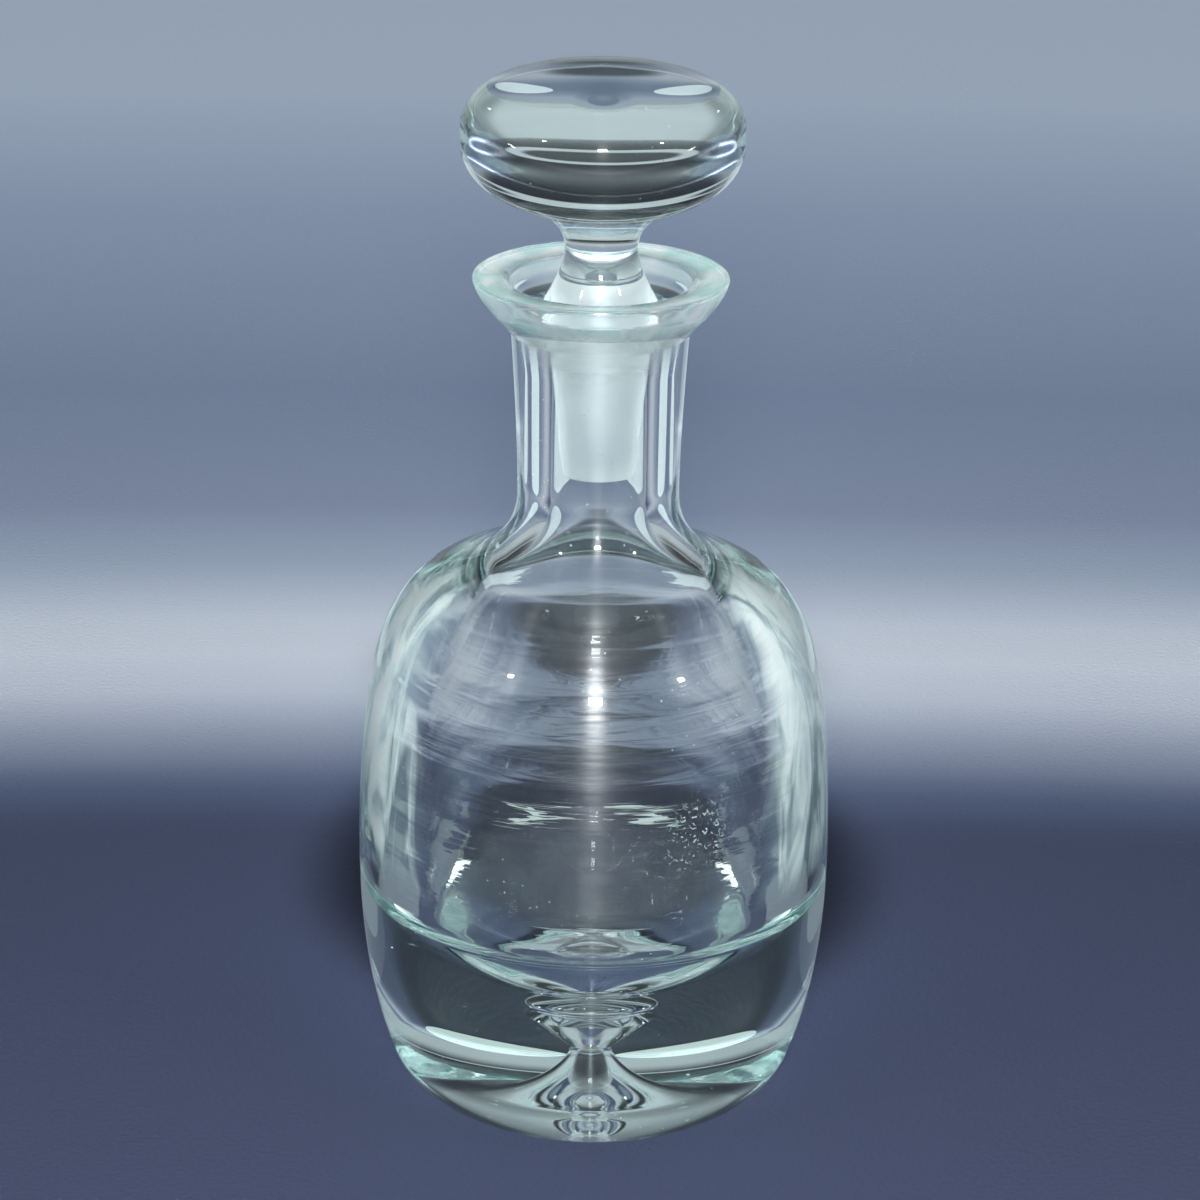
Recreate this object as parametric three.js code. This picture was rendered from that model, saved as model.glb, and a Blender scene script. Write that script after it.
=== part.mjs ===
// A heavy glass decanter with a bubble in its base and a ground stopper in its neck.
// Millimetres, +Z up. The axis of both pieces is Z, and the table is z = 0.

import * as THREE from 'three';

// Body, outside
const bodyRadius = 57.2;
const bellyHeight = 62;
const footInset = 16.7;
const footWidth = 2;
const heelHeight = 10.2;
const heelInset = 7.6;
const shoulderHeight = 108.2;
const shoulderInset = 3.5;
const saddleRise = 25;
const saddleWidth = 16.2;

// Neck and lip
const neckFilletHeight = 19;
const neckLength = 39.6;
const neckWall = 7.95;
const neckSpread = 1.7;
const lipHeight = 13.5;
const lipSpread = 9.1;
const rimWidth = 1.6;
const landDrop = 1.1;
const mouthRadius = 21;
const mouthRounding = 0.8;
const mouthDepth = 7.4;

// Stopper: the ground plug, its seat in the neck, the stem and the head
const plugTopRadius = 12.5;
const plugTaper = 0.095;
const plugLength = 39.8;
const plugEdge = 0.7;
const seatGap = 0.3;
const seatDepth = 15.8;
const collarHeight = 1.3;
const collarSpread = 0.8;
const stemRadius = 8.6;
const stemHeight = 12.8;
const throatSpread = 2.9;
const throatHeight = 6.5;
const headFootRadius = 15.5;
const headLift = 20;
const headRadius = 33.1;
const headCrown = 15.5;
const headDrop = 18.1;
const crownSquareness = 2.77;
const dropSquareness = 2.33;

// Cavity: the thick wall, the dished floor and the shoulder under the neck
const wall = 15.8;
const cavityBellyHeight = 78;
const wallFootInset = 1;
const wallFootRise = 5.3;
const floorEdgeInset = 4.2;
const floorEdgeRise = 15.2;
const floorOverBubble = 1.2;
const innerSaddleWidth = 12.7;
const innerSaddleDrop = 2.4;

// Hollow under the base: a shallow dish, a funnel like a trumpet's bell, its waist and the bubble
const dishDepth = 7.8;
const funnelRadius = 16.4;
const funnelHeight = 10.6;
const waistRadius = 3.2;
const waistBore = 1.4;
const cupRadius = 9.8;
const cupHeight = 6.5;
const bubbleNeckRadius = 6.5;
const bubbleNeckRise = 0.8;
const bubbleRadius = 10.1;
const bubbleRise = 2.3;
const bubbleCrown = 1.4;

const facets = 72;

// Heights and radii that follow from the sizes above
const footRadius = bodyRadius - footInset;
const saddleHeight = shoulderHeight + saddleRise;
const boreRadius = plugTopRadius + seatGap - plugTaper * seatDepth;
const neckRadius = boreRadius + neckWall;
const neckFoot = saddleHeight + neckFilletHeight;
const creaseHeight = neckFoot + neckLength;
const rimRadius = neckRadius + neckSpread + lipSpread;
const rimHeight = creaseHeight + lipHeight;
const seatTop = rimHeight - mouthDepth;
const plugBottom = seatTop - plugLength;
const headMiddle = seatTop + collarHeight + stemHeight + throatHeight + headLift;
const cavityRadius = bodyRadius - wall;
const waistHeight = dishDepth + funnelHeight;
const cupTop = waistHeight + waistBore + cupHeight;
const bubbleBelly = cupTop + bubbleNeckRise + bubbleRise;
const floorHeight = bubbleBelly + bubbleCrown + floorOverBubble;

const at = (radius, height) => new THREE.Vector2(radius, height);

function heading(degrees) {
  const angle = THREE.MathUtils.degToRad(degrees);
  return at(Math.cos(angle), Math.sin(angle));
}

// The start and the points between of a bend that leaves and arrives at the given angles:
// 0 runs outward, 90 up, 180 towards the axis and 270 down. The next run adds the end.
function bend(start, startAngle, end, endAngle, steps) {
  const leave = heading(startAngle);
  const arrive = heading(endAngle);
  const reach = end.clone().sub(start).cross(arrive) / leave.cross(arrive);
  const corner = start.clone().addScaledVector(leave, reach);
  return new THREE.QuadraticBezierCurve(start, corner, end).getPoints(steps).slice(0, -1);
}

// Points of a round from one angle to another, both ends included.
function round(centre, radius, startAngle, endAngle, steps) {
  return Array.from({ length: steps + 1 }, (unused, i) => {
    const angle = startAngle + ((endAngle - startAngle) * i) / steps;
    return centre.clone().addScaledVector(heading(angle), radius);
  });
}

// Turns an outline of (radius, height) points about Z.
function turned(outline) {
  const geometry = new THREE.LatheGeometry(outline, facets);
  geometry.rotateX(Math.PI / 2);
  return geometry;
}

function piece(name, geometry, material) {
  const mesh = new THREE.Mesh(geometry, material);
  mesh.name = name;
  return mesh;
}

// The hollow under the base, from the bubble's crown down to the foot.
function hollowOutline() {
  const crown = [];
  const crownSteps = 4;
  for (let i = 0; i < crownSteps; i += 1) {
    const angle = (Math.PI / 2) * (1 - i / crownSteps);
    crown.push(at(bubbleRadius * Math.cos(angle), bubbleBelly + bubbleCrown * Math.sin(angle)));
  }
  const bubbleNeck = at(bubbleNeckRadius, cupTop + bubbleNeckRise);
  const underBubble = bend(at(bubbleRadius, bubbleBelly), 270, bubbleNeck, 195, 3);
  const cup = bend(at(cupRadius, cupTop), 225, at(waistRadius, waistHeight + waistBore), 270, 3);
  const funnelEdge = at(funnelRadius, dishDepth);
  const funnel = bend(at(waistRadius, waistHeight), 295, funnelEdge, 345, 4);
  const dishEdge = at(footRadius - footWidth, 0);
  const dish = bend(at(funnelRadius + 0.6, dishDepth - 0.2), 352, dishEdge, 302, 4);
  return [...crown, ...underBubble, bubbleNeck, ...cup, ...funnel, funnelEdge, ...dish, dishEdge];
}

// The outside, from the foot up to the top of the rim's round.
function outsideOutline() {
  const foot = at(footRadius, 0);
  const heel = at(bodyRadius - heelInset, heelHeight);
  const belly = at(bodyRadius, bellyHeight);
  const shoulder = at(bodyRadius - shoulderInset, shoulderHeight);
  const saddle = at(neckRadius + saddleWidth, saddleHeight);
  const neck = at(neckRadius, neckFoot);
  const crease = at(neckRadius + neckSpread, creaseHeight);
  const rimCentre = at(rimRadius - rimWidth / 2, rimHeight - rimWidth / 2);
  return [
    ...bend(foot, 28, heel, 70, 4),
    ...bend(heel, 70, belly, 90, 4),
    ...bend(belly, 90, shoulder, 102, 4),
    ...bend(shoulder, 102, saddle, 162, 5),
    ...bend(saddle, 162, neck, 90, 4),
    ...bend(neck, 90, crease, 86, 2),
    ...bend(crease, 46, at(rimRadius, rimCentre.y), 80, 3),
    ...round(rimCentre, rimWidth / 2, 0, 180, 4),
  ];
}

// The inside, from the rim's land down the mouth, the seat and the bore to the floor.
function insideOutline() {
  const landEdge = at(mouthRadius + mouthRounding, rimHeight - landDrop);
  const mouthCentre = at(mouthRadius + mouthRounding, rimHeight - landDrop - mouthRounding);
  const seat = at(plugTopRadius + seatGap, seatTop);
  const bore = at(boreRadius, seatTop - seatDepth);
  const boreEnd = at(boreRadius, neckFoot);
  const saddle = at(boreRadius + innerSaddleWidth, saddleHeight - innerSaddleDrop);
  const belly = at(cavityRadius, cavityBellyHeight);
  const floorEdge = at(cavityRadius - floorEdgeInset, floorHeight + floorEdgeRise);
  const wallFoot = at(cavityRadius - wallFootInset, floorEdge.y + wallFootRise);
  const centre = at(0, floorHeight);
  return [
    landEdge,
    ...round(mouthCentre, mouthRounding, 135, 180, 1),
    ...bend(at(mouthRadius - 0.4, mouthCentre.y - 1), 264, seat, 190, 3),
    seat,
    bore,
    ...bend(boreEnd, 270, saddle, 325, 4),
    ...bend(saddle, 325, belly, 270, 5),
    ...bend(belly, 270, wallFoot, 262, 3),
    ...bend(wallFoot, 262, floorEdge, 217, 3),
    ...bend(floorEdge, 217, centre, 180, 4),
    centre,
  ];
}

// A point of the head, from -90 degrees at its underside to 90 at its crown.
function headPoint(degrees) {
  const angle = THREE.MathUtils.degToRad(degrees);
  const rise = Math.abs(Math.sin(angle));
  const [reach, squareness] = degrees < 0 ? [-headDrop, dropSquareness] : [headCrown, crownSquareness];
  return at(
    headRadius * (1 - rise ** squareness) ** (1 / squareness),
    headMiddle + reach * rise,
  );
}

// The stopper: plug, collar, waisted stem, and a round head squared off towards its rim.
function stopperOutline() {
  const plugBottomRadius = plugTopRadius - plugTaper * plugLength;
  const collar = at(plugTopRadius + collarSpread, seatTop + collarHeight);
  const waist = at(stemRadius, collar.y + stemHeight);
  const throat = at(stemRadius + throatSpread, waist.y + throatHeight);
  const footShare = 1 - (headFootRadius / headRadius) ** dropSquareness;
  const headFoot = -THREE.MathUtils.radToDeg(Math.asin(footShare ** (1 / dropSquareness)));
  const headSteps = 18;
  const head = Array.from({ length: headSteps }, (unused, i) => (
    headPoint(headFoot + ((90 - headFoot) * i) / headSteps)
  ));
  return [
    at(0, plugBottom),
    at(plugBottomRadius - plugEdge, plugBottom),
    at(plugBottomRadius, plugBottom + plugEdge),
    at(plugTopRadius, seatTop),
    ...bend(collar, 120, waist, 90, 6),
    ...bend(waist, 90, throat, 42, 3),
    ...bend(throat, 42, head[0], 12, 3),
    ...head,
    at(0, headMiddle + headCrown),
  ];
}

const clearGlass = new THREE.MeshStandardMaterial({ color: 0xdfe9e6, roughness: 0.04, metalness: 0 });
const stopperGlass = new THREE.MeshStandardMaterial({ color: 0xe8efed, roughness: 0.12, metalness: 0 });

const bottleOutline = [...hollowOutline(), ...outsideOutline(), ...insideOutline()];

const decanter = new THREE.Group();
decanter.add(
  piece('bottle', turned(bottleOutline), clearGlass),
  piece('stopper', turned(stopperOutline()), stopperGlass),
);

export default decanter;
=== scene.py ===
import math

import bpy
from mathutils import Matrix, Vector


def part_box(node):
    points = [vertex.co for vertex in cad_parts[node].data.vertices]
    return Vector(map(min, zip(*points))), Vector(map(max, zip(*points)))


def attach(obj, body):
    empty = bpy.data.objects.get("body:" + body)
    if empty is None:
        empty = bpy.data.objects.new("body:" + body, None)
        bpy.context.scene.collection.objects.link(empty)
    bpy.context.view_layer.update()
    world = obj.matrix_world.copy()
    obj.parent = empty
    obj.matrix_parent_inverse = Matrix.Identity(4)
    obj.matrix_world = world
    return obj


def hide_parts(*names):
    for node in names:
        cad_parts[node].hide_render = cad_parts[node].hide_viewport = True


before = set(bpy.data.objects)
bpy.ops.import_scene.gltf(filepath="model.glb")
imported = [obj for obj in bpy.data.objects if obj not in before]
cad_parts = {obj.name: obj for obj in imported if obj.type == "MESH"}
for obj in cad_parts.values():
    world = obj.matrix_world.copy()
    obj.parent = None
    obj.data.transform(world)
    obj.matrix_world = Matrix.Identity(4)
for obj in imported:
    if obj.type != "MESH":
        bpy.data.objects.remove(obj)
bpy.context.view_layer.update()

mm = 0.001
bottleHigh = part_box("bottle")[1]
stopperLow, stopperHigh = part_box("stopper")


# shader wires

# a shader socket that Python maths works on; each sum or product adds its Math node
class Wire:
    def __init__(self, tree, socket=None):
        self.tree = tree
        self.socket = socket

    # any node: its type, what is set on it first, then what goes into its sockets
    def node(self, kind, settings=None, inputs=None, output=0):
        made = self.tree.nodes.new(kind)
        for name, value in (settings or {}).items():
            if name == "stops":
                fillRamp(made.color_ramp, value)
            else:
                setattr(made, name, value)
        for name, value in (inputs or {}).items():
            if isinstance(value, Wire):
                self.tree.links.new(value.socket, made.inputs[name])
            else:
                made.inputs[name].default_value = value
        return Wire(self.tree, made.outputs[output] if len(made.outputs) else None)

    def maths(self, operation, first, second):
        return self.node("ShaderNodeMath", {"operation": operation}, {0: first, 1: second})

    def __add__(self, other):
        return self.maths("ADD", self, other)

    def __radd__(self, other):
        return self.maths("ADD", other, self)

    def __rsub__(self, other):
        return self.maths("SUBTRACT", other, self)

    def __mul__(self, other):
        return self.maths("MULTIPLY", self, other)

    def __rmul__(self, other):
        return self.maths("MULTIPLY", other, self)

    # 0 below low, 1 above high, soft between
    def between(self, low, high):
        settings = {"interpolation_type": "SMOOTHSTEP"}
        sockets = {"Value": self, "From Min": low, "From Max": high}
        return self.node("ShaderNodeMapRange", settings, sockets)

    # 1 between a soft rise and a soft fall, 0 outside them
    def band(self, riseLow, riseHigh, fallLow, fallHigh):
        return self.between(riseLow, riseHigh) * (1 - self.between(fallLow, fallHigh))

    # the x, y and z of a vector
    def parts(self):
        split = self.node("ShaderNodeSeparateXYZ", inputs={0: self}).socket.node
        return [Wire(self.tree, output) for output in split.outputs]


def fillRamp(ramp, stops):
    while len(ramp.elements) < len(stops):
        ramp.elements.new(0.5)
    for element, (place, colour) in zip(ramp.elements, stops):
        element.position = place
        element.color = colour


def newMaterial(name):
    material = bpy.data.materials.new(name)
    material.use_nodes = True
    material.node_tree.nodes.clear()
    return material, Wire(material.node_tree)


def rampOver(value, stops):
    return value.node("ShaderNodeValToRGB", {"stops": stops}, {"Fac": value})


def mixed(share, first, second):
    return first.node("ShaderNodeMixShader", inputs={0: share, 1: first, 2: second})


def noise(place, scale, detail, distortion=0):
    return place.node("ShaderNodeTexNoise", inputs={
        "Vector": place, "Scale": scale, "Detail": detail, "Distortion": distortion})


def stretched(place, scale):
    return place.node("ShaderNodeMapping", inputs={"Vector": place, "Scale": scale})


# how far a place is from a middle, as a share of the reach along each axis
def farFrom(place, middle, reach):
    moved = place.node("ShaderNodeVectorMath", {"operation": "SUBTRACT"}, {0: place, 1: middle})
    shares = place.node("ShaderNodeVectorMath", {"operation": "DIVIDE"}, {0: moved, 1: reach})
    return place.node("ShaderNodeVectorMath", {"operation": "LENGTH"}, {0: shares}, output=1)


# a pattern as relief, its height in metres, on top of the relief below it
def raised(pattern, height, strength=1.0, below=None):
    sockets = {"Strength": strength, "Distance": height, "Height": pattern}
    if below is not None:
        sockets["Normal"] = below
    return pattern.node("ShaderNodeBump", inputs=sockets)


# shaping

def heading(degrees):
    return Vector((math.cos(math.radians(degrees)), math.sin(math.radians(degrees))))


# points of a bend that leaves start and arrives at end at the given angles, without its end:
# 0 runs outward, 90 up, 180 towards the axis and 270 down
def bend(start, startAngle, end, endAngle, steps):
    start, end = Vector(start), Vector(end)
    leave, arrive = heading(startAngle), heading(endAngle)
    across = end - start
    reach = (across.x * arrive.y - across.y * arrive.x) / (leave.x * arrive.y - leave.y * arrive.x)
    corner = start + leave * reach
    points = []
    for step in range(steps):
        t = step / steps
        points.append(start * (1 - t) ** 2 + corner * (2 * t * (1 - t)) + end * t ** 2)
    return points


def roundOff(centre, radius, startAngle, endAngle, steps):
    turn = (endAngle - startAngle) / steps
    return [Vector(centre) + heading(startAngle + turn * i) * radius for i in range(steps + 1)]


# a point drawn out along an outline of (radius, height) in mm, towards -Y, then spun about Z
def turnPiece(name, outline, segments):
    bpy.ops.object.select_all(action="DESELECT")
    bpy.ops.mesh.primitive_plane_add(size=mm, location=(0, 0, 0))
    piece = bpy.context.object
    piece.name = piece.data.name = name
    bpy.ops.object.mode_set(mode="EDIT")
    bpy.ops.mesh.select_all(action="SELECT")
    bpy.ops.mesh.merge(type="CENTER")
    places = [Vector((0, -point[0], point[1])) * mm for point in outline]
    bpy.ops.transform.translate(value=places[0])
    for here, there in zip(places, places[1:]):
        bpy.ops.mesh.extrude_region_move(TRANSFORM_OT_translate={"value": there - here})
    bpy.ops.mesh.select_all(action="SELECT")
    bpy.ops.mesh.spin(steps=segments, angle=2 * math.pi, center=(0, 0, 0), axis=(0, 0, 1))
    bpy.ops.mesh.select_all(action="SELECT")
    bpy.ops.mesh.remove_doubles(threshold=0.001 * mm)
    bpy.ops.mesh.normals_make_consistent(inside=False)
    bpy.ops.object.mode_set(mode="OBJECT")
    return piece


def smoothPiece(piece, degrees):
    bpy.ops.object.select_all(action="DESELECT")
    piece.select_set(True)
    bpy.context.view_layer.objects.active = piece
    bpy.ops.object.shade_smooth_by_angle(angle=math.radians(degrees))


# bottle

# millimetres; the overall radius and height come from the frame
bottle = {
    "radius": bottleHigh.x / mm, "rimHeight": bottleHigh.z / mm,
    "bellyHeight": 62, "footInset": 16.7, "footWidth": 2, "heelHeight": 10.2, "heelInset": 7.6,
    "shoulderHeight": 108.2, "shoulderInset": 3.5, "saddleRise": 25, "saddleWidth": 16.2,
    "neckFilletHeight": 19, "neckLength": 39.6, "neckWall": 7.95, "neckSpread": 1.7,
    "lipSpread": 9.1, "rimWidth": 1.6, "landDrop": 1.1,
    "mouthRadius": 21, "mouthRounding": 0.8, "mouthDepth": 7.4, "mouthStep": (0.4, 1),
    "seatRadius": 12.8, "seatTaper": 0.095, "seatDepth": 15.8, "seatMargin": 0.1,
    "wall": 15.8, "cavityBellyHeight": 78, "wallFootInset": 1, "wallFootRise": 5.3,
    "floorEdgeInset": 4.2, "floorEdgeRise": 15.2, "overBubble": 1.2,
    "innerSaddleWidth": 12.7, "innerSaddleDrop": 2.4,
    "dishDepth": 7.8, "dishStep": (0.6, 0.2), "funnelRadius": 16.4, "funnelHeight": 10.6,
    "waistRadius": 3.2, "waistBore": 1.4, "cupRadius": 9.8, "cupHeight": 6.5,
    "bubbleNeckRadius": 6.5, "bubbleNeckRise": 0.8, "bubbleRadius": 10.1, "bubbleRise": 2.3,
    "bubbleCrown": 1.4, "crownSteps": 14,
    "boreSteps": 16, "ripple": 0.05, "rippleLength": 10,  # a slight ripple of the inner wall
    "segments": 216, "smoothAngle": 32,
}


# the hollow under the base, from the bubble's crown down to the foot, and the floor's height
def hollowOutline(b):
    waistHeight = b["dishDepth"] + b["funnelHeight"]
    cupTop = waistHeight + b["waistBore"] + b["cupHeight"]
    bellyHeight = cupTop + b["bubbleNeckRise"] + b["bubbleRise"]
    bubbleNeck = (b["bubbleNeckRadius"], cupTop + b["bubbleNeckRise"])
    waist = (b["waistRadius"], cupTop - b["cupHeight"])
    funnelEdge = (b["funnelRadius"], b["dishDepth"])
    stepOut, stepDown = b["dishStep"]
    dishStart = (b["funnelRadius"] + stepOut, b["dishDepth"] - stepDown)
    dishEdge = (b["radius"] - b["footInset"] - b["footWidth"], 0)
    outline = []
    for step in range(b["crownSteps"]):
        angle = math.radians(90 - 90 * step / b["crownSteps"])
        outline.append((b["bubbleRadius"] * math.cos(angle),
                        bellyHeight + b["bubbleCrown"] * math.sin(angle)))
    outline += bend((b["bubbleRadius"], bellyHeight), 270, bubbleNeck, 195, 12) + [bubbleNeck]
    outline += bend((b["cupRadius"], cupTop), 225, waist, 270, 12)
    outline += bend((b["waistRadius"], waistHeight), 295, funnelEdge, 345, 16) + [funnelEdge]
    outline += bend(dishStart, 352, dishEdge, 302, 16) + [dishEdge]
    return outline, bellyHeight + b["bubbleCrown"] + b["overBubble"]


# the outside, from the foot up to the top of the rim
def outsideOutline(b, neckFoot, neckRadius):
    foot = (b["radius"] - b["footInset"], 0)
    heel = (b["radius"] - b["heelInset"], b["heelHeight"])
    belly = (b["radius"], b["bellyHeight"])
    shoulder = (b["radius"] - b["shoulderInset"], b["shoulderHeight"])
    saddle = (neckRadius + b["saddleWidth"], b["shoulderHeight"] + b["saddleRise"])
    neck = (neckRadius, neckFoot)
    crease = (neckRadius + b["neckSpread"], neckFoot + b["neckLength"])
    rimRadius = crease[0] + b["lipSpread"]
    rimCentre = (rimRadius - b["rimWidth"] / 2, b["rimHeight"] - b["rimWidth"] / 2)
    outline = bend(foot, 28, heel, 70, 14) + bend(heel, 70, belly, 90, 16)
    outline += bend(belly, 90, shoulder, 102, 14) + bend(shoulder, 102, saddle, 162, 18)
    outline += bend(saddle, 162, neck, 90, 14) + bend(neck, 90, crease, 86, 8)
    outline += bend(crease, 46, (rimRadius, rimCentre[1]), 80, 12)
    return outline + roundOff(rimCentre, b["rimWidth"] / 2, 0, 180, 10)


# the inside, from the rim's land down the mouth, the seat and the bore to the floor
def insideOutline(b, neckFoot, floorHeight):
    seatTop = b["rimHeight"] - b["mouthDepth"]
    mouthRise = b["rimHeight"] - b["landDrop"] - b["mouthRounding"]
    mouthCentre = (b["mouthRadius"] + b["mouthRounding"], mouthRise)
    stepIn, stepDown = b["mouthStep"]
    seat = (b["seatRadius"], seatTop)
    boreRadius = b["seatRadius"] - b["seatTaper"] * b["seatDepth"]
    saddleHeight = b["shoulderHeight"] + b["saddleRise"] - b["innerSaddleDrop"]
    saddle = (boreRadius + b["innerSaddleWidth"], saddleHeight)
    belly = (b["radius"] - b["wall"], b["cavityBellyHeight"])
    floorEdge = (belly[0] - b["floorEdgeInset"], floorHeight + b["floorEdgeRise"])
    wallFoot = (belly[0] - b["wallFootInset"], floorEdge[1] + b["wallFootRise"])
    outline = roundOff(mouthCentre, b["mouthRounding"], 90, 180, 5)
    outline += bend((b["mouthRadius"] - stepIn, mouthRise - stepDown), 264, seat, 190, 14) + [seat]
    outline += [(boreRadius, seatTop - b["seatDepth"])]
    bore = bend((boreRadius, neckFoot), 270, saddle, 325, b["boreSteps"])
    wall = bend(saddle, 325, belly, 270, 36) + bend(belly, 270, wallFoot, 262, 30)
    for point in wall:
        point[0] += b["ripple"] * math.sin(2 * math.pi * point[1] / b["rippleLength"])
    centre = (0, floorHeight)
    floor = bend(wallFoot, 262, floorEdge, 217, 12) + bend(floorEdge, 217, centre, 180, 24)
    return outline + bore + wall + floor + [centre]


def makeBottle(b):
    boreRadius = b["seatRadius"] - b["seatTaper"] * b["seatDepth"]
    neckFoot = b["shoulderHeight"] + b["saddleRise"] + b["neckFilletHeight"]
    hollow, floorHeight = hollowOutline(b)
    outside = outsideOutline(b, neckFoot, boreRadius + b["neckWall"])
    inside = insideOutline(b, neckFoot, floorHeight)
    piece = turnPiece("glassBottle", hollow + outside + inside, b["segments"])
    smoothPiece(piece, b["smoothAngle"])
    return piece


# stopper

# millimetres; the height and the head's radius come from the frame
stopper = {
    "top": stopperHigh.z / mm, "bottom": stopperLow.z / mm, "radius": stopperHigh.x / mm,
    "plugLength": 39.8, "plugTopRadius": 12.5, "plugTaper": 0.095, "plugEdge": 0.7,
    "collarHeight": 1.3, "collarSpread": 0.8, "stemRadius": 8.6, "stemHeight": 12.8,
    "throatSpread": 2.9, "throatHeight": 6.5, "headFootRadius": 15.5,
    "headCrown": 15.5, "headDrop": 18.1, "crownSquareness": 2.77, "dropSquareness": 2.33,
    "headSteps": 90, "segments": 180, "smoothAngle": 32,
}


# a point of the head, from -90 at its underside to 90 at its crown
def headPoint(s, degrees):
    rise = abs(math.sin(math.radians(degrees)))
    reach, squareness = (s["headCrown"], s["crownSquareness"])
    if degrees < 0:
        reach, squareness = (-s["headDrop"], s["dropSquareness"])
    radius = s["radius"] * (1 - rise ** squareness) ** (1 / squareness)
    return Vector((radius, s["top"] - s["headCrown"] + reach * rise))


def makeStopper(s):
    seatTop = s["bottom"] + s["plugLength"]
    endRadius = s["plugTopRadius"] - s["plugTaper"] * s["plugLength"]
    plugEnd = (endRadius - s["plugEdge"], s["bottom"])
    plugSide = (endRadius, s["bottom"] + s["plugEdge"])
    collar = (s["plugTopRadius"] + s["collarSpread"], seatTop + s["collarHeight"])
    waist = (s["stemRadius"], collar[1] + s["stemHeight"])
    throat = (waist[0] + s["throatSpread"], waist[1] + s["throatHeight"])
    footShare = 1 - (s["headFootRadius"] / s["radius"]) ** s["dropSquareness"]
    footAngle = -math.degrees(math.asin(footShare ** (1 / s["dropSquareness"])))
    turn = (90 - footAngle) / s["headSteps"]
    head = [headPoint(s, footAngle + turn * i) for i in range(s["headSteps"])]
    outline = [(0, s["bottom"])]
    outline += bend(plugEnd, 0, plugSide, 90, 5) + [plugSide, (s["plugTopRadius"], seatTop)]
    outline += bend(collar, 120, waist, 90, 20) + bend(waist, 90, throat, 42, 12)
    outline += bend(throat, 42, head[0], 12, 12) + head + [(0, s["top"])]
    piece = turnPiece("glassStopper", outline, s["segments"])
    smoothPiece(piece, s["smoothAngle"])
    return piece


# glass

# metres, or shares of 1. Two values are where something starts and where it is full, four are its
# rise and its fall. Heights are above the table
glass = {
    "ior": 1.52, "absorbColour": (0.62, 0.93, 0.88, 1), "absorbDensity": 3.6,
    "sheenWeight": 0.005, "sheenRoughness": 0.35, "sheenColour": (0.80, 1.0, 0.95, 1),
    "shadowTint": (0.72, 0.76, 0.77, 1),

    # outside: tooling rings and slow waves
    "ringsPerMetre": 900, "ringEdge": (0.58, 0.70), "ringHeight": 0.000004,
    "ringHeights": (0.05, 0.065, 0.125, 0.14), "waveScale": 26, "waveHeight": 0.00002,

    # inner wall: closer waves, flattened along Z
    "wallRadius": 0.044, "wallFade": 0.94, "wallHeights": (0.052, 0.07, 0.125, 0.14),
    "wallWaves": (38, 38, 240), "wallBend": 0.6, "wallWaveHeight": 0.00012,

    # dust, dried residue and smears
    "patchScale": 30, "specksPerMetre": 420, "speckSize": (0.03, 0.09),
    "dustPatches": (0.48, 0.62), "speckHeight": 0.000012, "speckStrength": 0.4,
    "speckRoughness": 0.35, "dustGlow": 0.6,
    "residueAt": (0.020, -0.033, 0.081), "residueReach": (0.012, 0.012, 0.012),
    "residueCore": 0.4, "residuePerMetre": 800, "residueBend": 1.5, "flakeEdge": (0.58, 0.64),
    "residuePatches": (0.35, 0.5), "residueGlow": 0.35,
    "smearScale": 55, "smearBend": 1.2, "smearEdge": (0.55, 0.8), "smearRoughness": 0.02,
    "smearTones": [(0.3, (1, 1, 1, 1)), (0.8, (0.955, 0.965, 0.96, 1))],

    # light gathered in the wall and on the lip; Facing is 0 face on and 1 edge on
    "glowShare": 0.9, "glowBase": 0.2, "glowStreaks": (95, 95, 24), "glowBend": 1.4,
    "streakEdge": (0.4, 0.58), "glowHeights": (0.055, 0.068, 0.118, 0.132),
    "glowFacing": (0.23, 0.36, 0.54, 0.7), "glowRoughness": 0.5, "glowIor": 1.2,
    "glowTones": [(0.38, (0.56, 0.82, 0.78, 1)), (0.62, (0.97, 1, 0.99, 1))],
    "lipHeights": (0.191, 0.2005), "lipRadii": (0.019, 0.027), "lipBase": 0.35,
    "lipFacing": (0.2, 0.8), "lipGlow": 0.45,

    # polishing marks, stronger on the lip; plainPolish is the share of them on the stopper
    "polishShare": 0.015, "plainPolish": 0.4, "polishRoughness": 0.28, "polishStretch": 0.93,
    "markBase": 0.5, "markEdge": (0.35, 0.65), "lipMarks": 4, "lipFrom": (0.190, 0.2),

    # ground seat and plug
    "groundRoughness": 0.29, "groundClear": 0.94, "groundFade": 0.011, "groundEdge": 0.0001,
    "grainPerMetre": 2600, "grainHeight": 0.00002, "grainStrength": 0.6, "grainRoughness": 0.2,
    "cloudPerMetre": 90,
    "groundTones": [(0.3, (0.67, 0.69, 0.69, 1)), (0.75, (0.80, 0.82, 0.82, 1))],
}


# dust in patches all over, and flakes of dried residue round one place
def specksOn(place, g):
    patches = noise(place, g["patchScale"], 2)
    dots = place.node("ShaderNodeTexVoronoi", inputs={
        "Vector": place, "Scale": g["specksPerMetre"]})
    dust = (1 - dots.between(*g["speckSize"])) * patches.between(*g["dustPatches"])
    flakes = noise(place, g["residuePerMetre"], 3, g["residueBend"])
    residue = flakes.between(*g["flakeEdge"]) * patches.between(*g["residuePatches"])
    away = farFrom(place, g["residueAt"], g["residueReach"])
    return dust, residue * (1 - away.between(g["residueCore"], 1))


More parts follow.
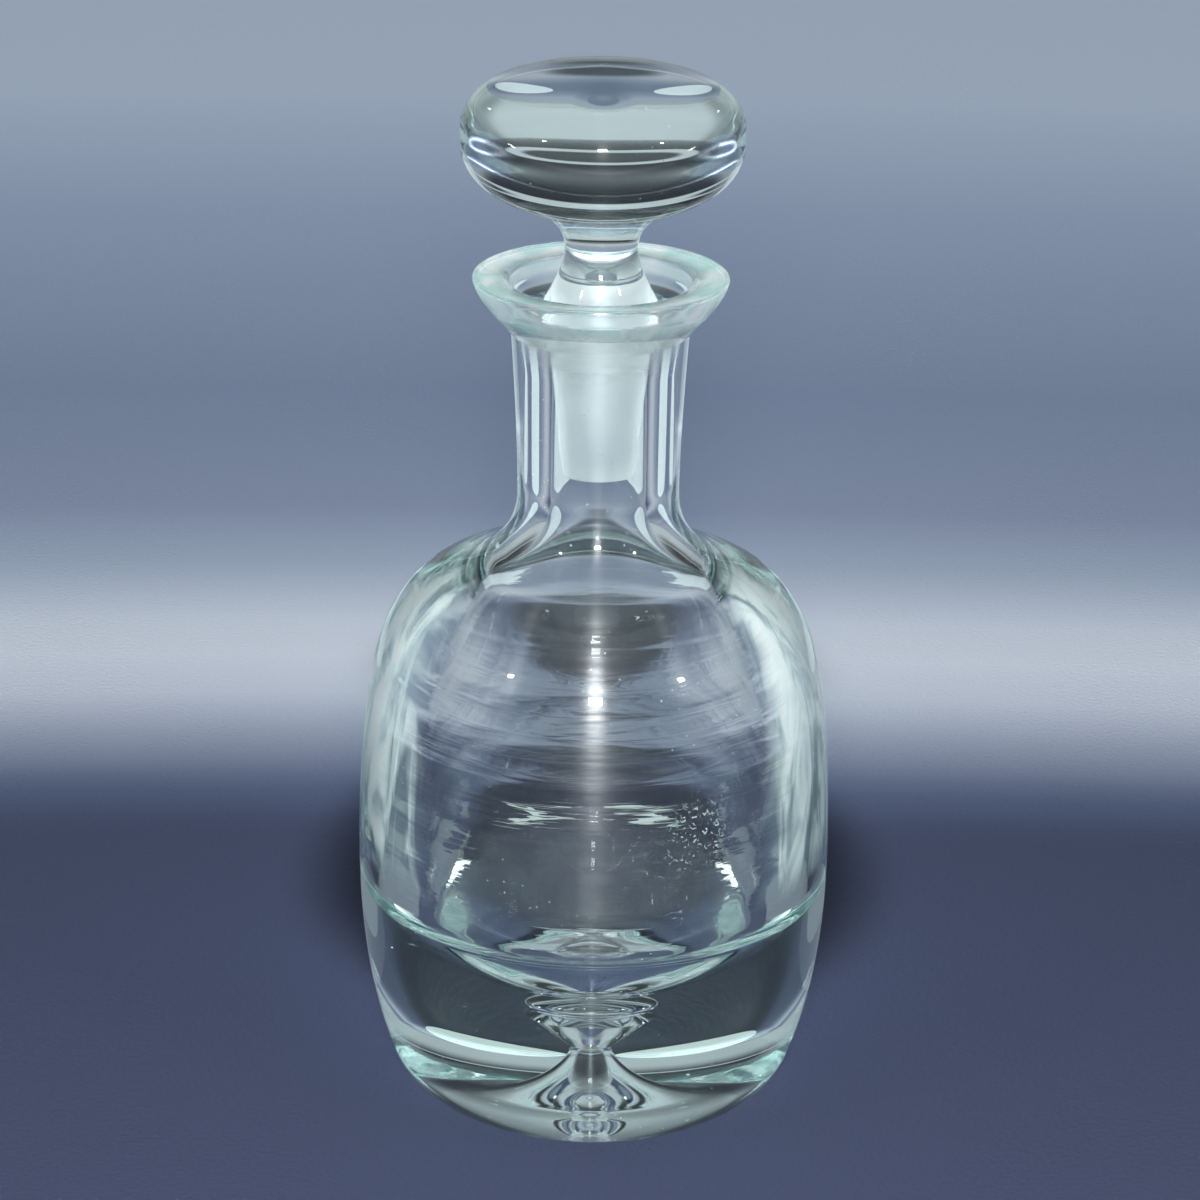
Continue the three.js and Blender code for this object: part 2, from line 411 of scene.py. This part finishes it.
# a pale matt skin that stands in for gathered light, and its share of the glass: in streaks on the
# inner wall, where a ray meets it from inside the glass at a slant, and on the lip
def gatheredLight(place, height, across, bore, normal, g):
    streaks = noise(stretched(place, g["glowStreaks"]), 1, 3, g["glowBend"])
    facing = place.node("ShaderNodeLayerWeight", inputs={"Blend": 0.5, "Normal": normal}, output=1)
    within = place.node("ShaderNodeNewGeometry", output=6)
    wallGlow = bore * height.band(*g["glowHeights"]) * facing.band(*g["glowFacing"]) * within
    wallGlow = wallGlow * (g["glowBase"] + (1 - g["glowBase"]) * streaks.between(*g["streakEdge"]))
    lipInside, lipOutside = g["lipRadii"]
    lipGlow = height.between(*g["lipHeights"]) * across.between(lipInside ** 2, lipOutside ** 2)
    lipGlow = lipGlow * (g["lipBase"] + facing.between(*g["lipFacing"]))
    skin = place.node("ShaderNodeBsdfPrincipled", inputs={
        "Base Color": rampOver(streaks, g["glowTones"]), "Roughness": g["glowRoughness"],
        "IOR": g["glowIor"]})
    return wallGlow + lipGlow * g["lipGlow"], skin


# a ground face: white and half clear, with a fine grain
def groundSkin(place, g):
    grain = noise(place, g["grainPerMetre"], 2)
    cloud = noise(place, g["cloudPerMetre"], 3)
    return place.node("ShaderNodeBsdfPrincipled", inputs={
        "Base Color": rampOver(cloud, g["groundTones"]),
        "Roughness": g["groundRoughness"] + g["grainRoughness"] * grain, "IOR": g["ior"],
        "Transmission Weight": g["groundClear"],
        "Normal": raised(grain, g["grainHeight"], g["grainStrength"])})


# clear glass with its rings, waves, specks, gathered light and polishing marks, which draw
# highlights out along Z. It lets lamplight through, tinted, to what is inside and behind it. wavy
# is 1 on the bottle, which has all of these, and 0 on the stopper; ground is the seat's or plug's
# low end, high end and greatest radius, in metres
def clearGlass(name, g, wavy, ground):
    material, wire = newMaterial(name)
    place = wire.node("ShaderNodeTexCoord", output=3)
    x, y, height = place.parts()
    across = x * x + y * y  # the radius squared
    bore = 1 - across.between(g["wallRadius"] ** 2 * g["wallFade"], g["wallRadius"] ** 2)

    ringNoise = wire.node("ShaderNodeTexNoise", {"noise_dimensions": "1D"},
                          {"W": height, "Scale": g["ringsPerMetre"], "Detail": 3})
    ringed = height.band(*g["ringHeights"])
    normal = raised(ringNoise.between(*g["ringEdge"]) * ringed, g["ringHeight"], wavy)
    normal = raised(noise(place, g["waveScale"], 1), g["waveHeight"], 1.0, normal)
    wallNoise = noise(stretched(place, g["wallWaves"]), 1, 2, g["wallBend"])
    wallNoise = wallNoise * (bore * height.band(*g["wallHeights"]))
    normal = raised(wallNoise, g["wallWaveHeight"], wavy, normal)

    dust, residue = specksOn(place, g)
    residue = residue * wavy
    specks = dust + residue
    smears = noise(place, g["smearScale"], 4, g["smearBend"])
    smeared = smears.between(*g["smearEdge"])
    skin = wire.node("ShaderNodeBsdfPrincipled", inputs={
        "Base Color": rampOver(smears, g["smearTones"]),
        "Roughness": specks * g["speckRoughness"] + smeared * g["smearRoughness"],
        "IOR": g["ior"], "Transmission Weight": 1.0,
        "Normal": raised(specks, g["speckHeight"], g["speckStrength"], normal),
        "Sheen Weight": g["sheenWeight"], "Sheen Roughness": g["sheenRoughness"],
        "Sheen Tint": g["sheenColour"]})

    marks = g["markBase"] + ringNoise.between(*g["markEdge"]) * ringed * wavy
    marks = marks + g["lipMarks"] * wavy * height.between(*g["lipFrom"])
    polishShare = g["polishShare"] * (g["plainPolish"] + (1 - g["plainPolish"]) * wavy)
    polish = wire.node("ShaderNodeBsdfPrincipled", inputs={
        "Metallic": 1.0, "Base Color": (1, 1, 1, 1), "Roughness": g["polishRoughness"],
        "Anisotropic": g["polishStretch"], "Anisotropic Rotation": 0.25})
    light, gathered = gatheredLight(place, height, across, bore, normal, g)
    glow = light * wavy + dust * g["dustGlow"] + residue * g["residueGlow"]
    clear = mixed(glow * g["glowShare"], mixed(polishShare * marks, skin, polish), gathered)

    low, high, reach = ground
    edge = g["groundEdge"]
    matt = height.band(low, low + g["groundFade"], high, high + edge)
    matt = matt * (1 - across.between(reach ** 2, (reach + edge) ** 2))
    shade = wire.node("ShaderNodeBsdfTransparent", inputs={"Color": g["shadowTint"]})
    shadowRay = wire.node("ShaderNodeLightPath", output=1)
    surface = mixed(shadowRay, mixed(matt, clear, groundSkin(place, g)), shade)
    depth = wire.node("ShaderNodeVolumeAbsorption", inputs={
        "Color": g["absorbColour"], "Density": g["absorbDensity"]})
    wire.node("ShaderNodeOutputMaterial", inputs={"Surface": surface, "Volume": depth})
    return material


# stage

# metres. A wash is a distance from washMiddle, as measured along Y, and the floor's colour there:
# slate, with a pale band behind the object that is a painted sheen of light on the paper. A shade
# is a soft dark oval, a painted shadow that stands in for the object's shadow: its middle, its
# reach along each axis, the share of it that is full, its strength
stage = {
    "radius": 6.0, "sides": 96, "insetShare": 0.5, "roughness": 0.7, "gloss": 0.12,
    "grainPerMetre": 650, "grainHeight": 0.00025,
    "washMiddle": (0, -0.3, 0), "washReach": (6, 2.7, 2.7),
    # the pale stops from 0.52 to 0.66 are a painted sheen of light on the paper
    "washesWithPaintedSheen": [
        (0.45, (0.05, 0.06, 0.11, 1)), (0.48, (0.085, 0.105, 0.18, 1)),
        (0.52, (0.30, 0.33, 0.42, 1)), (0.55, (0.51, 0.54, 0.62, 1)),
        (0.58, (0.60, 0.62, 0.70, 1)), (0.61, (0.58, 0.61, 0.69, 1)),
        (0.66, (0.37, 0.42, 0.53, 1)), (0.72, (0.26, 0.30, 0.42, 1)),
        (0.85, (0.24, 0.285, 0.41, 1)), (1.10, (0.40, 0.455, 0.61, 1)),
        (1.30, (0.60, 0.655, 0.80, 1)), (2.60, (0.76, 0.80, 0.85, 1)),
    ],
    # the colour and the ovals of the painted shadow
    "shade": (0.012, 0.015, 0.026, 1),
    "shades": [
        ((0, 0.118, 0), (0.088, 0.108, 1), 0.7, 1),
        ((0, 0.272, 0), (0.080, 0.062, 1), 0.35, 0.8),
    ],
}


def makeFloor(s):
    bpy.ops.object.select_all(action="DESELECT")
    bpy.ops.mesh.primitive_circle_add(
        vertices=s["sides"], radius=s["radius"], fill_type="NGON", location=(0, 0, 0))
    floor = bpy.context.object
    floor.name = "paperFloor"
    bpy.ops.object.mode_set(mode="EDIT")
    bpy.ops.mesh.select_all(action="SELECT")
    bpy.ops.mesh.inset(thickness=s["radius"] * s["insetShare"])
    bpy.ops.object.mode_set(mode="OBJECT")
    return floor


# matt paper with a fine grain; its colour carries the washes with their painted sheen band and the
# painted shadow ovals
def paper(name, s):
    material, wire = newMaterial(name)
    place = wire.node("ShaderNodeTexCoord", output=3)
    stops = [(distance / s["washReach"][1], colour) for distance, colour in s["washesWithPaintedSheen"]]
    toneWithPaintedLight = rampOver(farFrom(place, s["washMiddle"], s["washReach"]), stops)
    # paint the object's shadow: each shade darkens the colour in a soft oval
    for middle, reach, core, strength in s["shades"]:
        dark = strength * (1 - farFrom(place, middle, reach).between(core, 1))
        sockets = {0: dark, 6: toneWithPaintedLight, 7: s["shade"]}
        toneWithPaintedLight = wire.node("ShaderNodeMix", {"data_type": "RGBA"}, sockets, output=2)
    skin = wire.node("ShaderNodeBsdfPrincipled", inputs={
        "Base Color": toneWithPaintedLight, "Roughness": s["roughness"], "Specular IOR Level": s["gloss"],
        "Normal": raised(noise(place, s["grainPerMetre"], 2), s["grainHeight"])})
    wire.node("ShaderNodeOutputMaterial", inputs={"Surface": skin})
    return material


# lamps

lamps = {
    "frontLamp": {"at": (0, -0.97, 0.56), "size": (0.12, 0.09), "power": 15},
    "leftSpark": {"at": (-0.75, -0.62, 0.75), "size": (0.06, 0.06), "power": 1.5},
    "rightSpark": {"at": (0.75, -0.62, 0.72), "size": (0.06, 0.06), "power": 1.5},
}
lampAim = (0, 0, 0.12)

# pale oval cards low down, one of each kind on the left and on the right, which show in the glass
# and not in the picture itself: their middles on the right, in metres
up, fore = (0, 0, 1), (0, -1, 0)
cards = {
    "neckCard": {"at": (0.24, 0.53, 0.001), "facing": up, "size": (0.28, 0.36), "glow": 0.65},
    "footCard": {"at": (0.098, 0.068, 0.001), "facing": up, "size": (0.09, 0.09), "glow": 0.16},
    "cornerCard": {"at": (0.0475, 0.055, 0.0015), "facing": up, "size": (0.015, 0.02), "glow": 2.0},
    "bandCard": {"at": (0.028, 0.127, 0.004), "facing": fore, "size": (0.048, 0.007), "glow": 0.7},
}
cardTint = (0.84, 1, 0.94)


def makeLamp(name, shape, place, facing, size, power):
    light = bpy.data.lights.new(name, "AREA")
    light.shape = shape
    light.size, light.size_y = size
    light.energy = power
    holder = bpy.data.objects.new(name, light)
    bpy.context.scene.collection.objects.link(holder)
    holder.location = place
    holder.rotation_euler = facing.to_track_quat("-Z", "Y").to_euler()
    holder.visible_camera = False
    return light


def makeLamps(lamps, cards):
    for name, lamp in lamps.items():
        place = Vector(lamp["at"])
        makeLamp(name, "RECTANGLE", place, Vector(lampAim) - place, lamp["size"], lamp["power"])
    for name, card in cards.items():
        wide, deep = card["size"]
        area = wide * deep * math.pi / 4
        power = card["glow"] * math.pi * area
        for side, way in (("Left", -1), ("Right", 1)):
            place = Vector(card["at"]) * Vector((way, 1, 1))
            facing = Vector(card["facing"])
            light = makeLamp(name + side, "ELLIPSE", place, facing, card["size"], power)
            light.color = cardTint


# a soft room. Levels are its light at the horizon and below, then each change upwards: the amount,
# and the heights where it starts and ends, 0 at the horizon and 1 straight up
room = {
    "colour": (0.82, 0.94, 1.0, 1), "behind": (0.35, 0.75), "front": (0.3, 0.8), "frontDim": 0.55,
    "backLevel": 0.53,
    "backChanges": [
        (-0.50, 0.08, 0.22), (0.60, 0.203, 0.21), (-0.60, 0.218, 0.225),
        (0.18, 0.5, 0.68), (0.40, 0.75, 0.98),
    ],
    "sideLevel": 0.58,
    "sideChanges": [(-0.20, 0.2, 0.4), (0.26, 0.42, 0.62)],
}


def levelsUp(height, level, changes):
    for amount, low, high in changes:
        level = level + amount * height.between(low, high)
    return level


# dim behind the object, with a thin pale line above the horizon, and pale at the sides and overhead
def makeRoom(r):
    world = bpy.data.worlds.new("room")
    bpy.context.scene.world = world
    world.use_nodes = True
    world.node_tree.nodes.clear()
    wire = Wire(world.node_tree)
    y, z = wire.node("ShaderNodeTexCoord", output=0).parts()[1:]
    behind = y.between(*r["behind"])
    front = (0 - y).between(*r["front"])
    back = levelsUp(z, r["backLevel"], r["backChanges"])
    side = levelsUp(z, r["sideLevel"], r["sideChanges"])
    level = back * behind + side * (1 - behind) * (1 - r["frontDim"] * front)
    sky = wire.node("ShaderNodeBackground", inputs={"Color": r["colour"], "Strength": level})
    wire.node("ShaderNodeOutputWorld", inputs={"Surface": sky})


# camera

# metres, millimetres of lens, and degrees
camera = {
    "distance": 0.95264, "height": 0.4836, "lens": 127.56, "sensor": 36, "near": 0.01,
    "pitch": 20.66, "yaw": 0.047, "roll": 0.78,
}


def makeCamera(c):
    lens = bpy.data.cameras.new("camera")
    lens.sensor_width = c["sensor"]
    lens.lens = c["lens"]
    lens.clip_start = c["near"]
    holder = bpy.data.objects.new("camera", lens)
    bpy.context.scene.collection.objects.link(holder)
    pitch, yaw, roll = (math.radians(c[turn]) for turn in ("pitch", "yaw", "roll"))
    level = math.cos(pitch)
    ahead = Vector((math.sin(yaw) * level, math.cos(yaw) * level, -math.sin(pitch)))
    right = Vector((math.cos(yaw), -math.sin(yaw), 0))
    above = right.cross(ahead)
    right, above = (right * math.cos(roll) + above * math.sin(roll),
                    above * math.cos(roll) - right * math.sin(roll))
    matrix = Matrix((right, above, -ahead)).transposed().to_4x4()
    matrix.translation = (0, -c["distance"], c["height"])
    holder.matrix_world = matrix
    bpy.context.scene.camera = holder


# putting it together

makeCamera(camera)

bottlePiece = makeBottle(bottle)
seatTop = bottle["rimHeight"] - bottle["mouthDepth"]
seatReach = bottle["seatRadius"] + bottle["seatMargin"]
seat = ((seatTop - bottle["seatDepth"]) * mm, seatTop * mm, seatReach * mm)
bottlePiece.data.materials.append(clearGlass("bottleGlass", glass, 1.0, seat))
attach(bottlePiece, "bottle")
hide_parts("bottle")
print("bottle turned:", len(bottlePiece.data.polygons), "faces")

stopperPiece = makeStopper(stopper)
plug = (0, seatTop * mm, stopper["radius"] * mm)
stopperPiece.data.materials.append(clearGlass("stopperGlass", glass, 0.0, plug))
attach(stopperPiece, "stopper")
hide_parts("stopper")
print("stopper turned:", len(stopperPiece.data.polygons), "faces")

floorPiece = makeFloor(stage)
floorPiece.data.materials.append(paper("floorPaper", stage))
makeLamps(lamps, cards)
makeRoom(room)
print("stage, lamps and room set")

# light passes many faces of glass in glass
scene = bpy.context.scene
scene.view_settings.view_transform = "Standard"
scene.cycles.max_bounces = 32
scene.cycles.transmission_bounces = 32
scene.cycles.glossy_bounces = 16
scene.cycles.transparent_max_bounces = 16
